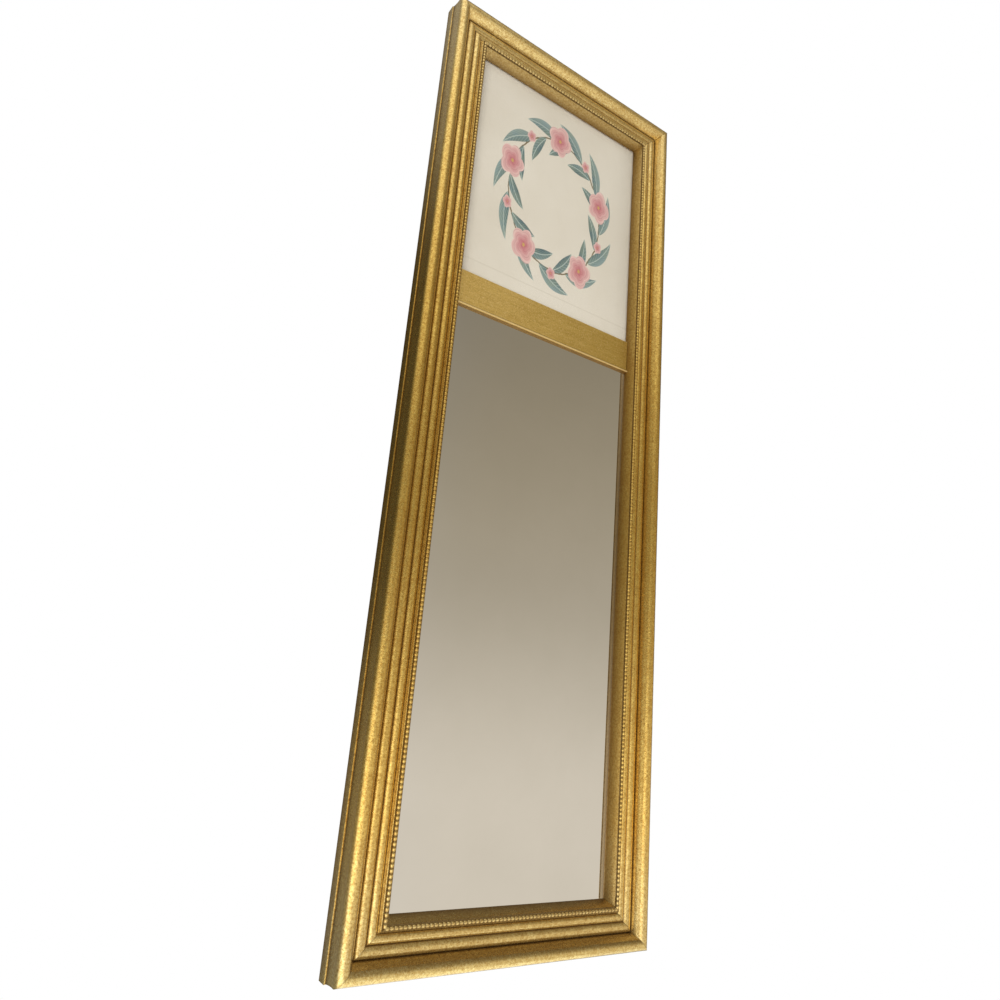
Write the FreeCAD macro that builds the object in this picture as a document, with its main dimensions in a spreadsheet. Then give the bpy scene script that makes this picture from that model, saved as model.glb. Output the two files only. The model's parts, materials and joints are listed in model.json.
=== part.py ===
import FreeCAD, Part
import math
import os
import Sketcher

# Pier mirror: a gilt frame of four mitred moulding lengths with a row of pearls round the sight
# edge, a flat rail across it, a glazed picture above the rail and a looking glass below.
# Millimetres. The origin is the middle of the object's box, +Z is up and -Y is the front.

SIZES = {
    # Whole frame, over the outer edges
    "frame_width": 305.8,
    "frame_height": 919.0,
    # Moulding section, measured in from its outer edge and forward from its flat back
    "moulding_width": 43.9,
    "base_height": 9.8,
    "base_ledge": 0.7,
    "cove_hollow": 0.3,
    "torus_radius": 5.9,
    "torus_in": 7.5,
    "torus_height": 23.5,
    "flank_rise": 0.4,
    "first_groove_in": 16.2,
    "first_groove_height": 18.4,
    "second_groove_in": 25.6,
    "second_groove_height": 18.7,
    "third_groove_in": 33.0,
    "third_groove_height": 19.3,
    "middle_reed_rise": 2.4,
    "inner_reed_rise": 2.0,
    "pearl_land_in": 35.0,
    "pearl_land_width": 4.3,
    "pearl_land_height": 22.1,
    "sight_lip": 0.8,
    "rebate_depth": 11.3,
    "rebate_width": 6.0,
    # Pearl slips on the land
    "pearl_base": 0.9,
    "pearl_radius": 1.7,
    "pearl_pitch": 3.77,
    "pearl_notch": 0.5,
    # Divider rail
    "rail_drop": 305.9,
    "rail_face_height": 38.5,
    "rail_proud": 2.1,
    "rail_web_depth": 8.0,
    "rail_overlap": 6.0,
    "rail_lip_radius": 1.35,
    "rail_arris": 1.0,
    "rail_gap": 0.1,
    "dowel_radius": 2.5,
    "dowel_length": 24.0,
    # Panels in the rebate
    "panel_gap": 1.0,
    "picture_glass_thickness": 2.0,
    "print_thickness": 0.3,
    "mirror_thickness": 3.0,
    "board_thickness": 3.0,
    # Steel points that hold the panels
    "point_length": 16.0,
    "point_width": 8.0,
    "point_thickness": 0.6,
    "point_in_wood": 8.0,
    # Nails through the mitres
    "nail_radius": 0.8,
    "nail_length": 32.0,
    "nail_near": 9.0,
    "nail_far": 18.0,
    "nail_sink": 1.0,
    # Room round a pin in its hole, and overrun of the cutting shapes
    "fit_room": 0.05,
    "overrun": 2.0,
    # Strap hangers, with their rings and screws
    "hanger_drop": 150.0,
    "strap_width": 11.0,
    "strap_thickness": 1.0,
    "strap_length": 36.0,
    "ring_wire_radius": 1.1,
    "ring_running_room": 0.08,
    "ring_lift": 0.35,
    "ring_width": 20.0,
    "ring_corner": 3.5,
    "ring_side": 1.5,
    "screw_first": 21.5,
    "screw_second": 31.5,
    "screw_length": 12.0,
    "screw_tip": 3.0,
    "screw_shank_radius": 1.45,
    "screw_head_radius": 2.9,
    "screw_head_height": 1.7,
    "screw_head_edge": 0.5,
    "screw_slot_width": 0.8,
    "screw_slot_depth": 0.8,
    "screw_hole_room": 0.35,
    # Wall bumpers at the lower corners
    "bumper_radius": 5.0,
    "bumper_thickness": 5.0,
    "bumper_inset": 9.0,
    "bumper_round": 1.0,
}

# How far the torus's round runs out and in from its middle, as shares of its radius
TORUS_ROUND_SHARES = (0.995, 0.91)

# Where the steel points stand, as shares of the panel's height or width
PICTURE_SIDE_SHARES = (0.25, 0.75)
MIRROR_SIDE_SHARES = (0.1, 0.37, 0.63, 0.9)
END_SHARES = (0.25, 0.75)

SYMMETRIC_PARTS = 2
HALF_TURN = 180
QUARTER_TURN = 90

doc = FreeCAD.newDocument("pier_mirror")
sheet = doc.addObject("Spreadsheet::Sheet", "Sizes")
for row, (size_name, size_value) in enumerate(SIZES.items(), start=1):
    sheet.set("A%d" % row, size_name)
    sheet.set("B%d" % row, str(size_value))
    sheet.setAlias("B%d" % row, size_name)
doc.recompute()


class Size:
    """A length with the spreadsheet expression that gives it."""

    def __init__(self, value, text):
        self.value = value
        self.text = text

    def joined(self, sign, other, value):
        return Size(value, "(%s %s %s)" % (self.text, sign, other.text))

    def __add__(self, other):
        other = as_size(other)
        return self.joined("+", other, self.value + other.value)

    def __sub__(self, other):
        other = as_size(other)
        return self.joined("-", other, self.value - other.value)

    def __mul__(self, other):
        other = as_size(other)
        return self.joined("*", other, self.value * other.value)

    def __truediv__(self, other):
        other = as_size(other)
        return self.joined("/", other, self.value / other.value)

    def __neg__(self):
        return Size(-self.value, "(-%s)" % self.text)


def as_size(number):
    """A plain number as a size, so that counts and shares mix with lengths."""
    if isinstance(number, Size):
        return number
    return Size(float(number), repr(float(number)))


def size(name):
    """The size in the named cell."""
    return Size(float(sheet.get(name)), "Sizes." + name)


def root(area):
    """The square root of a sum of squared sizes."""
    return Size(math.sqrt(area.value), "sqrt(%s)" % area.text)


ZERO = as_size(0)


def bind(feature, name, value):
    """Tie a property of a feature to a size."""
    feature.setExpression(name, value.text)


def place(feature, x, y, z, rotation=FreeCAD.Rotation()):
    """Set a feature down at a point made of sizes, turned by a fixed rotation."""
    feature.Placement = FreeCAD.Placement(FreeCAD.Vector(x.value, y.value, z.value), rotation)
    bind(feature, "Placement.Base.x", x)
    bind(feature, "Placement.Base.y", y)
    bind(feature, "Placement.Base.z", z)


def about(axis, degrees):
    """A turn about one of the three axes."""
    return FreeCAD.Rotation(FreeCAD.Vector(*axis), degrees)


AXIS_X = (1, 0, 0)
AXIS_Y = (0, 1, 0)
AXIS_Z = (0, 0, 1)


# Sketched outlines

def origin_plane(body, role):
    """One of a body's own origin planes."""
    return [plane for plane in body.Origin.OriginFeatures if plane.Role == role][0]


def new_sketch(body, name, role="XY_Plane"):
    """An empty sketch on one of the body's origin planes."""
    sketch = body.newObject("Sketcher::SketchObject", name)
    sketch.AttachmentSupport = [(origin_plane(body, role), "")]
    sketch.MapMode = "FlatFace"
    return sketch


def hold(sketch, edge, end, across, up):
    """Fix one point of an edge at a place made of sizes."""
    for kind, axis_line, value in (("DistanceX", -2, across), ("DistanceY", -1, up)):
        if value is None:
            continue
        if value.value == 0:
            sketch.addConstraint(Sketcher.Constraint("PointOnObject", edge, end, axis_line))
        else:
            rule = Sketcher.Constraint(kind, -1, 1, edge, end, value.value)
            number = sketch.addConstraint(rule)
            sketch.setExpression("Constraints[%d]" % number, value.text)


def draw(sketch, points, arcs=None):
    """Draw a closed outline through the points; arcs maps an edge to its centre and sense."""
    arcs = arcs or {}
    first = sketch.GeometryCount
    count = len(points)
    places = [FreeCAD.Vector(across.value, up.value, 0) for across, up in points]
    ends = []
    for edge in range(count):
        start = places[edge]
        finish = places[(edge + 1) % count]
        if edge not in arcs:
            sketch.addGeometry(Part.LineSegment(start, finish), False)
            ends.append((1, 2))
            continue
        centre_x, centre_y, clockwise = arcs[edge]
        centre = FreeCAD.Vector(centre_x.value, centre_y.value, 0)
        opening, closing = (finish, start) if clockwise else (start, finish)
        from_angle = math.atan2(opening.y - centre.y, opening.x - centre.x)
        to_angle = math.atan2(closing.y - centre.y, closing.x - centre.x)
        if to_angle <= from_angle:
            to_angle += math.tau
        circle = Part.Circle(centre, FreeCAD.Vector(*AXIS_Z), (start - centre).Length)
        sketch.addGeometry(Part.ArcOfCircle(circle, from_angle, to_angle), False)
        ends.append((2, 1) if clockwise else (1, 2))
    for edge in range(count):
        following = (edge + 1) % count
        sketch.addConstraint(Sketcher.Constraint(
            "Coincident", first + edge, ends[edge][1], first + following, ends[following][0]))
        hold(sketch, first + edge, ends[edge][0], *points[edge])
        if edge in arcs:
            span = places[following] - places[edge]
            centre_x, centre_y, _ = arcs[edge]
            if abs(span.x) > abs(span.y):
                hold(sketch, first + edge, 3, None, centre_y)
            else:
                hold(sketch, first + edge, 3, centre_x, None)


def rising_arc(start, finish, rise, left):
    """The centre and sense of an arc that rises to the left, or right, of the way it runs."""
    run_x = finish[0] - start[0]
    run_y = finish[1] - start[1]
    chord_squared = run_x * run_x + run_y * run_y
    back = (chord_squared / (rise * 8) - rise / 2) / root(chord_squared)
    if not left:
        back = -back
    middle_x = (start[0] + finish[0]) / 2
    middle_y = (start[1] + finish[1]) / 2
    return middle_x + run_y * back, middle_y - run_x * back, left


def new_body(name):
    return doc.addObject("PartDesign::Body", name)


def pad(body, sketch, length, symmetric=False):
    """Give a sketch its length."""
    feature = body.newObject("PartDesign::Pad", sketch.Name + "_pad")
    feature.Profile = sketch
    if symmetric:
        feature.SideType = "Symmetric"
    bind(feature, "Length", length)
    return feature


def turned(body, sketch):
    """Turn a sketch once round its own upright axis."""
    feature = body.newObject("PartDesign::Revolution", sketch.Name + "_turned")
    feature.Profile = sketch
    feature.ReferenceAxis = (sketch, ["V_Axis"])
    feature.Angle = 2 * HALF_TURN
    return feature


# Plain solids and their sums

def box(name, x, y, z, length, depth, height):
    solid = doc.addObject("Part::Box", name)
    bind(solid, "Length", length)
    bind(solid, "Width", depth)
    bind(solid, "Height", height)
    place(solid, x, y, z)
    return solid


def rod(name, x, y, z, radius, length, rotation):
    solid = doc.addObject("Part::Cylinder", name)
    bind(solid, "Radius", radius)
    bind(solid, "Height", length)
    place(solid, x, y, z, rotation)
    return solid


ALONG_X = about(AXIS_Y, QUARTER_TURN)
ALONG_Y = about(AXIS_X, -QUARTER_TURN)


def group(name, solids):
    """Separate solids kept together."""
    kept = doc.addObject("Part::Compound", name)
    kept.Links = solids
    return kept


def fused(name, solids):
    whole = doc.addObject("Part::MultiFuse", name)
    whole.Shapes = solids
    return whole


def cut(name, base, tools):
    """A solid with holes in it."""
    left_over = doc.addObject("Part::Cut", name)
    left_over.Base = base
    left_over.Tool = group(name + "_holes", tools)
    return left_over


nodes = []


def finished(feature, label):
    """Name a sub-part and put it on the list of those to write."""
    feature.Label = label
    nodes.append(feature)
    return feature


# Places that several pieces share

half_width = size("frame_width") / SYMMETRIC_PARTS
half_height = size("frame_height") / SYMMETRIC_PARTS
moulding_depth = size("torus_height") + size("torus_radius")
overall_depth = moulding_depth + size("bumper_thickness")
back_y = overall_depth / SYMMETRIC_PARTS - size("bumper_thickness")
rebate_in = size("moulding_width") - size("rebate_width")
rebate_half_width = half_width - rebate_in
rebate_half_height = half_height - rebate_in
rebate_y = back_y - size("rebate_depth")
rail_top = half_height - size("rail_drop")
rail_bottom = rail_top - size("rail_face_height")
rail_middle = (rail_top + rail_bottom) / SYMMETRIC_PARTS
web_top = rail_top - size("rail_overlap")
web_bottom = rail_bottom + size("rail_overlap")


# Moulding: one section, sawn to four lengths and mitred at both ends

def moulding_outline():
    """The moulding's section, with its shallow cove, its torus and its two reeds."""
    torus_square = size("torus_radius") * size("torus_radius")
    cove_reach, flank_reach = [size("torus_radius") * share for share in TORUS_ROUND_SHARES]
    cove_top = size("torus_height") - root(torus_square - cove_reach * cove_reach)
    flank_top = size("torus_height") + root(torus_square - flank_reach * flank_reach)
    land_end = size("pearl_land_in") + size("pearl_land_width")
    lip_front = size("rebate_depth") + size("sight_lip")
    points = [
        (ZERO, ZERO),
        (ZERO, size("base_height")),
        (size("base_ledge"), size("base_height")),
        (size("torus_in") - cove_reach, cove_top),
        (size("torus_in") + flank_reach, flank_top),
        (size("first_groove_in"), size("first_groove_height")),
        (size("second_groove_in"), size("second_groove_height")),
        (size("third_groove_in"), size("third_groove_height")),
        (size("pearl_land_in"), size("pearl_land_height")),
        (land_end, size("pearl_land_height")),
        (size("moulding_width"), lip_front),
        (size("moulding_width"), size("rebate_depth")),
        (rebate_in, size("rebate_depth")),
        (rebate_in, ZERO),
    ]
    arcs = {
        2: rising_arc(points[2], points[3], size("cove_hollow"), left=False),
        3: (size("torus_in"), size("torus_height"), True),
        4: rising_arc(points[4], points[5], size("flank_rise"), left=True),
        5: rising_arc(points[5], points[6], size("middle_reed_rise"), left=True),
        6: rising_arc(points[6], points[7], size("inner_reed_rise"), left=True),
    }
    return points, arcs


def moulding_turn(degrees):
    """How a length lies: section forward, then turned round the frame."""
    return about(AXIS_Y, degrees) * about(AXIS_X, HALF_TURN)


def moulding_length(name, length, x, z, degrees):
    """One length of moulding between its two mitres."""
    body = new_body(name)
    section = new_sketch(body, name + "_section")
    draw(section, *moulding_outline())
    pad(body, section, length, symmetric=True)
    reach = size("moulding_width") + size("overrun")
    end = length / SYMMETRIC_PARTS
    mitres = new_sketch(body, name + "_mitres", "XZ_Plane")
    draw(mitres, [(ZERO, end), (reach, end - reach), (reach, end + size("overrun")),
                  (ZERO, end + size("overrun"))])
    draw(mitres, [(ZERO, -end), (reach, reach - end), (reach, -(end + size("overrun"))),
                  (ZERO, -(end + size("overrun")))])
    doc.recompute()
    whole_volume = body.Shape.Volume
    saw = body.newObject("PartDesign::Pocket", name + "_saw")
    saw.Profile = mitres
    saw.SideType = "Symmetric"
    bind(saw, "Length", (moulding_depth + size("overrun")) * 2)
    place(body, x, back_y, z, moulding_turn(degrees))
    doc.recompute()
    if not body.Shape.Volume < whole_volume:
        raise ValueError(name + " has no mitres")
    return body


# Every side of the frame: its length, its outer edge's place and its turn round the frame
SIDES = {
    "left": (size("frame_height"), -half_width, ZERO, 0),
    "right": (size("frame_height"), half_width, ZERO, HALF_TURN),
    "top": (size("frame_width"), ZERO, half_height, QUARTER_TURN),
    "bottom": (size("frame_width"), ZERO, -half_height, -QUARTER_TURN),
}
LENGTH_NAMES = {
    "left": "left_stile",
    "right": "right_stile",
    "top": "top_rail",
    "bottom": "bottom_rail",
}
sawn = {}
for side, (length, x, z, degrees) in SIDES.items():
    sawn[side] = moulding_length("sawn_" + side, length, x, z, degrees)
holes = {side: [] for side in SIDES}


# Pearl slips: thin strips with half-round beads, glued on the moulding's land and mitred with it

def pearl_slip(name, length, x, z, degrees):
    """One strip with a flat back and a row of beads on its face."""
    radius = size("pearl_radius").value
    land_in = size("pearl_land_in").value
    land_width = size("pearl_land_width").value
    land_height = size("pearl_land_height").value
    bead_height = land_height + size("pearl_base").value
    middle_in = land_in + land_width / SYMMETRIC_PARTS
    half_length = length.value / SYMMETRIC_PARTS
    run = 2 * (half_length - middle_in)
    count = round(run / size("pearl_pitch").value)
    step = run / count
    spare = math.ceil(radius / step)
    waist = radius - size("pearl_notch").value

    def spot(along, out):
        return FreeCAD.Vector(middle_in + out, bead_height, along)

    lowest = -run / 2 - spare * step
    highest = run / 2 + spare * step
    edges = [Part.makeLine(spot(highest, 0), spot(lowest, 0)),
             Part.makeLine(spot(lowest, 0), spot(lowest, waist))]
    for pearl in range(count + 2 * spare):
        low = lowest + pearl * step
        crest = spot(low + step / 2, radius)
        edges.append(Part.Arc(spot(low, waist), crest, spot(low + step, waist)).toShape())
    edges.append(Part.makeLine(spot(highest, waist), spot(highest, 0)))
    beads = Part.Face(Part.Wire(edges)).revolve(
        spot(0, 0), FreeCAD.Vector(*AXIS_Z), HALF_TURN)
    inner = land_in + land_width
    corners = [(land_in, half_length - land_in), (inner, half_length - inner),
               (inner, inner - half_length), (land_in, land_in - half_length)]

    def between_mitres(low, high):
        """The space between the two mitres, over the land, from one height to another."""
        outline = Part.makePolygon([FreeCAD.Vector(across, low, along)
                                    for across, along in corners + corners[:1]])
        return Part.Face(outline).extrude(FreeCAD.Vector(0, high - low, 0))

    base = between_mitres(land_height, bead_height)
    room = between_mitres(land_height, bead_height + 2 * radius)
    slip = doc.addObject("Part::Feature", name)
    slip.Shape = base.fuse(beads.common(room)).removeSplitter().Solids[0]
    place(slip, x, back_y, z, moulding_turn(degrees))
    return slip


for side, (length, x, z, degrees) in SIDES.items():
    finished(pearl_slip("slip_" + side, length, x, z, degrees), side + "_pearl_slip")


# Divider rail: a flat face with a round lip below, a web behind it and coped ends

rail_front = size("rebate_depth") + size("rail_proud")
web_back = size("rebate_depth") - size("rail_web_depth")


def rail_section():
    """The rail's section, from its underside up, run the width of the frame."""
    height = size("rail_face_height")
    lip_top = size("rail_lip_radius") * 2
    arris = size("rail_arris")
    points = [
        (rail_front, ZERO),
        (rail_front, lip_top),
        (rail_front, height - arris),
        (rail_front - arris, height),
        (size("rebate_depth"), height),
        (size("rebate_depth"), height - size("rail_overlap")),
        (web_back, height - size("rail_overlap")),
        (web_back, size("rail_overlap")),
        (size("rebate_depth"), size("rail_overlap")),
        (size("rebate_depth"), ZERO),
    ]
    arcs = {
        0: (rail_front, size("rail_lip_radius"), False),
        2: (rail_front - arris, height - arris, False),
    }
    body = new_body("rail_run")
    section = new_sketch(body, "rail_run_section")
    draw(section, points, arcs)
    pad(body, section, size("frame_width"), symmetric=True)
    turn = FreeCAD.Rotation(FreeCAD.Vector(0, -1, 0), FreeCAD.Vector(0, 0, 1),
                            FreeCAD.Vector(-1, 0, 0), "ZXY")
    place(body, ZERO, back_y, rail_bottom, turn)
    return body


def rail_plan():
    """The rail seen from above: its web in the rebates, its face coped to the stiles."""
    web_half = rebate_half_width - size("rail_gap")
    sight_half = half_width - size("moulding_width") - size("rail_gap")
    lip_front = size("rebate_depth") + size("sight_lip")
    foremost = rail_front + size("rail_lip_radius") + size("overrun")
    land_end = size("pearl_land_in") + size("pearl_land_width")
    splay = (size("moulding_width") - land_end) / (size("pearl_land_height") - lip_front)
    front_half = sight_half + (foremost - lip_front) * splay
    right = [(web_half, ZERO), (web_half, size("rebate_depth")),
             (sight_half, size("rebate_depth")), (sight_half, lip_front), (front_half, foremost)]
    points = [(web_half + reach, height) for reach, height in right]
    points += [(web_half - reach, height) for reach, height in reversed(right)]
    body = new_body("rail_reach")
    outline = new_sketch(body, "rail_reach_outline")
    draw(outline, points)
    pad(body, outline, size("rail_face_height"))
    place(body, -web_half, back_y, rail_top, about(AXIS_X, HALF_TURN))
    return body


coped = doc.addObject("Part::Common", "coped_rail")
coped.Base = rail_section()
coped.Tool = rail_plan()

dowel_y = back_y - (size("rebate_depth") + web_back) / SYMMETRIC_PARTS
dowel_half = size("dowel_length") / SYMMETRIC_PARTS
dowels = []
rail_holes = []
for side, sign in (("left", -1), ("right", 1)):
    start = rebate_half_width * sign - dowel_half
    dowels.append(rod("dowel_" + side, start, dowel_y, rail_middle,
                      size("dowel_radius"), size("dowel_length"), ALONG_X))
    bore = rod("dowel_bore_" + side, start - size("fit_room"), dowel_y, rail_middle,
               size("dowel_radius") + size("fit_room"),
               size("dowel_length") + size("fit_room") * 2, ALONG_X)
    rail_holes.append(bore)
    holes[side].append(bore)
finished(cut("bored_rail", coped, rail_holes), "divider_rail")
finished(group("both_dowels", dowels), "rail_dowels")


# Panels: each stack lies in the rebate, the front sheet against its lip

panel_half_width = rebate_half_width - size("panel_gap")
picture_foot = web_top + size("panel_gap")
picture_head = rebate_half_height - size("panel_gap")
mirror_foot = -rebate_half_height + size("panel_gap")
mirror_head = web_bottom - size("panel_gap")


def panel_stack(foot, head, sheets):
    """Sheets laid one behind the other from the lip back; gives the last one's back."""
    front = rebate_y
    for label, thickness in sheets:
        sheet_solid = box("sheet_" + label, -panel_half_width, front, foot,
                          panel_half_width * 2, thickness, head - foot)
        finished(sheet_solid, label)
        front = front + thickness
    return front


picture_back = panel_stack(picture_foot, picture_head, [
    ("picture_glass", size("picture_glass_thickness")),
    ("picture_print", size("print_thickness")),
    ("picture_backing_board", size("board_thickness")),
])
mirror_back = panel_stack(mirror_foot, mirror_head, [
    ("mirror_plate", size("mirror_thickness")),
    ("mirror_backing_board", size("board_thickness")),
])


# Steel points: flat blades driven into the rebate walls, lying on the backing boards

points_driven = []


def drive_point(side, along, board_back):
    """One blade in the named side's rebate wall, at a height or a place across."""
    number = len(points_driven)
    bare = size("point_length") - size("point_in_wood")
    upright = side in ("left", "right")
    wall = rebate_half_width if upright else rebate_half_height
    if side in ("left", "bottom"):
        near = -wall - size("point_in_wood")
    else:
        near = wall - bare
    far_side = along - size("point_width") / SYMMETRIC_PARTS
    room = size("fit_room")

    def blade(name, spare):
        length = size("point_length") + spare * 2
        width = size("point_width") + spare * 2
        thickness = size("point_thickness") + spare * 2
        if upright:
            return box(name, near - spare, board_back - spare, far_side - spare,
                       length, thickness, width)
        return box(name, far_side - spare, board_back - spare, near - spare,
                   width, thickness, length)

    points_driven.append(blade("point_%d" % number, ZERO))
    holes[side].append(blade("point_slot_%d" % number, room))


for side in ("left", "right"):
    for share in PICTURE_SIDE_SHARES:
        drive_point(side, picture_foot + (picture_head - picture_foot) * share, picture_back)
    for share in MIRROR_SIDE_SHARES:
        drive_point(side, mirror_foot + (mirror_head - mirror_foot) * share, mirror_back)
for side, board_back in (("top", picture_back), ("bottom", mirror_back)):
    for share in END_SHARES:
        drive_point(side, -panel_half_width + panel_half_width * 2 * share, board_back)
finished(group("all_points", points_driven), "framing_points")


# Corner nails: two through each stile's outer edge into the end of the rail beside it

nails = []
nail_y = back_y - size("base_height") / SYMMETRIC_PARTS
for side, sign in (("left", -1), ("right", 1)):
    for rail, end in (("top", 1), ("bottom", -1)):
        for drop in ("nail_near", "nail_far"):
            height = (half_height - size(drop)) * end
            head = half_width - size("nail_sink")
            start = -head if side == "left" else head - size("nail_length")
            hole_start = -half_width if side == "left" else start - size("fit_room")
            hole_length = size("nail_length") + size("nail_sink") + size("fit_room")
            name = "%s_%s_%s" % (side, rail, drop)
            nails.append(rod(name, start, nail_y, height,
                             size("nail_radius"), size("nail_length"), ALONG_X))
            bore = rod(name + "_bore", hole_start, nail_y, height,
                       size("nail_radius") + size("fit_room"), hole_length, ALONG_X)
            holes[side].append(bore)
            holes[rail].append(bore)
finished(group("all_nails", nails), "corner_nails")


# Strap hangers: folded steel straps on the backs of the stiles, each with a hinged ring

hinge_in = rebate_in / SYMMETRIC_PARTS
hinge_height = size("strap_thickness") + size("ring_lift") + size("ring_wire_radius")
hinge_y = back_y + hinge_height
hinge_z = half_height - size("hanger_drop")
loop_bore = size("ring_wire_radius") + size("ring_running_room")
loop_radius = loop_bore + size("strap_thickness")
strap_half = size("strap_width") / SYMMETRIC_PARTS
strap_foot = hinge_z - size("strap_length")
screw_heights = (hinge_z - size("screw_first"), hinge_z - size("screw_second"))


def strap(side, x):
    """A strap with a rolled loop at its head, a round foot and two screw holes."""
    plate = box(side + "_plate", x - strap_half, back_y, strap_foot,
                size("strap_width"), size("strap_thickness"), size("strap_length"))
    foot = rod(side + "_foot", x, back_y, strap_foot, strap_half, size("strap_thickness"), ALONG_Y)
    loop = rod(side + "_loop", x - strap_half, hinge_y, hinge_z,
               loop_radius, size("strap_width"), ALONG_X)
    tools = [rod(side + "_eye", x - strap_half - size("overrun"), hinge_y, hinge_z,
                 loop_bore, size("strap_width") + size("overrun") * 2, ALONG_X)]
    for number, height in enumerate(screw_heights):
        tools.append(rod("%s_screw_hole_%d" % (side, number), x, back_y - size("overrun"), height,
                         size("screw_shank_radius") + size("screw_hole_room"),
                         size("strap_thickness") + size("overrun") * 2, ALONG_Y))
    return cut(side + "_strap", fused(side + "_folded", [plate, foot, loop]), tools)


def ring(side, x):
    """A wire ring with a straight bar in the strap's loop, hanging down from it."""
    wide = size("ring_width")
    corner = size("ring_corner")
    shoulder = corner + size("ring_side")
    middle = wide / SYMMETRIC_PARTS
    body = new_body(side + "_ring_wire")
    path = new_sketch(body, side + "_ring_path")
    draw(path, [(middle, ZERO), (wide - corner, ZERO), (wide, corner), (wide, shoulder),
                (ZERO, shoulder), (ZERO, corner), (corner, ZERO)],
         {1: (wide - corner, corner, False),
          3: (middle, shoulder, False),
          5: (corner, corner, False)})
    wire = new_sketch(body, side + "_ring_wire_section", "YZ_Plane")
    wire.setExpression("AttachmentOffset.Base.z", middle.text)
    circle = Part.Circle(FreeCAD.Vector(), FreeCAD.Vector(*AXIS_Z), size("ring_wire_radius").value)
    wire.addGeometry(circle, False)
    wire.addConstraint(Sketcher.Constraint("Coincident", 0, 3, -1, 1))
    number = wire.addConstraint(Sketcher.Constraint("Radius", 0, size("ring_wire_radius").value))
    wire.setExpression("Constraints[%d]" % number, size("ring_wire_radius").text)
    doc.recompute()
    pipe = body.newObject("PartDesign::AdditivePipe", side + "_ring_pipe")
    pipe.Profile = wire
    pipe.Spine = path
    place(body, x - middle, hinge_y, hinge_z, ALONG_Y)
    doc.recompute()
    length = sum(edge.Length for edge in path.Shape.Edges)
    drawn = body.Shape.Volume / (math.pi * size("ring_wire_radius").value ** 2)
    print(side, "ring wire", round(length, 3), "swept", round(drawn, 3))
    return body


def wood_screw(name, x, z):
    """A round-head screw with a slot, driven through the strap into the stile."""
    shank = size("screw_shank_radius")
    seat = size("screw_length")
    edge_top = seat + size("screw_head_edge")
    crown = seat + size("screw_head_height")
    dome = size("screw_head_height") - size("screw_head_edge")
    reach = size("screw_head_radius")
    dome_radius = (reach * reach + dome * dome) / (dome * 2)
    body = new_body(name + "_turned")
    section = new_sketch(body, name + "_section")
    draw(section, [(ZERO, ZERO), (shank, size("screw_tip")), (shank, seat), (reach, seat),
                   (reach, edge_top), (ZERO, crown)],
         {4: (ZERO, crown - dome_radius, False)})
    turned(body, section)
    seat_y = back_y + size("strap_thickness")
    place(body, x, seat_y - seat, z)
    slot = box(name + "_slot", x - reach, seat_y + size("screw_head_height") - size("screw_slot_depth"),
               z - size("screw_slot_width") / SYMMETRIC_PARTS,
               reach * 2, size("screw_slot_depth") + size("overrun"), size("screw_slot_width"))
    return cut(name, body, [slot])


screws = []
for side, sign in (("left", -1), ("right", 1)):
    x = (half_width - hinge_in) * sign
    finished(strap(side, x), side + "_hanger_strap")
    finished(ring(side, x), side + "_hanger_ring")
    for number, height in enumerate(screw_heights):
        screws.append(wood_screw("%s_screw_%d" % (side, number), x, height))
        reach = size("screw_length") - size("strap_thickness") + size("fit_room")
        holes[side].append(rod("%s_pilot_%d" % (side, number), x, back_y - reach, height,
                               size("screw_shank_radius") + size("fit_room"),
                               reach + size("overrun"), ALONG_Y))
finished(group("all_screws", screws), "hanger_screws")


# Wall bumpers: rubber pads stuck to the lower corners of the back

def bumper(side, x, z):
    """A round pad with a softened edge and a flat face to the wall."""
    radius = size("bumper_radius")
    soft = size("bumper_round")
    thick = size("bumper_thickness")
    body = new_body(side + "_bumper")
    section = new_sketch(body, side + "_bumper_section")
    draw(section, [(ZERO, ZERO), (radius, ZERO), (radius, thick - soft), (radius - soft, thick),
                   (ZERO, thick)],
         {2: (radius - soft, thick - soft, False)})
    turned(body, section)
    place(body, x, back_y, z)
    return body


bumpers = []
for side, sign in (("left", -1), ("right", 1)):
    bumpers.append(bumper(side, (half_width - size("bumper_inset")) * sign,
                          size("bumper_inset") - half_height))
finished(group("both_bumpers", bumpers), "wall_bumpers")


# Frame lengths, bored for everything that is driven into them

for side, label in LENGTH_NAMES.items():
    finished(cut("bored_" + side, sawn[side], holes[side]), label)


# Check every object, then write each sub-part

doc.recompute()
for feature in doc.Objects:
    if "Invalid" in feature.State or "Error" in feature.State:
        raise ValueError("%s is in state %s" % (feature.Name, feature.State))
for node in nodes:
    if node.Shape.isNull() or not node.Shape.isValid():
        raise ValueError(node.Label + " has no valid shape")
os.makedirs("parts", exist_ok=True)
for node in nodes:
    node.Shape.exportStep("parts/%s.step" % node.Label)
    print(node.Label, len(node.Shape.Solids), round(node.Shape.Volume, 2))
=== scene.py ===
import json
import math

import bmesh
import bpy
from mathutils import Matrix, Vector, noise

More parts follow.
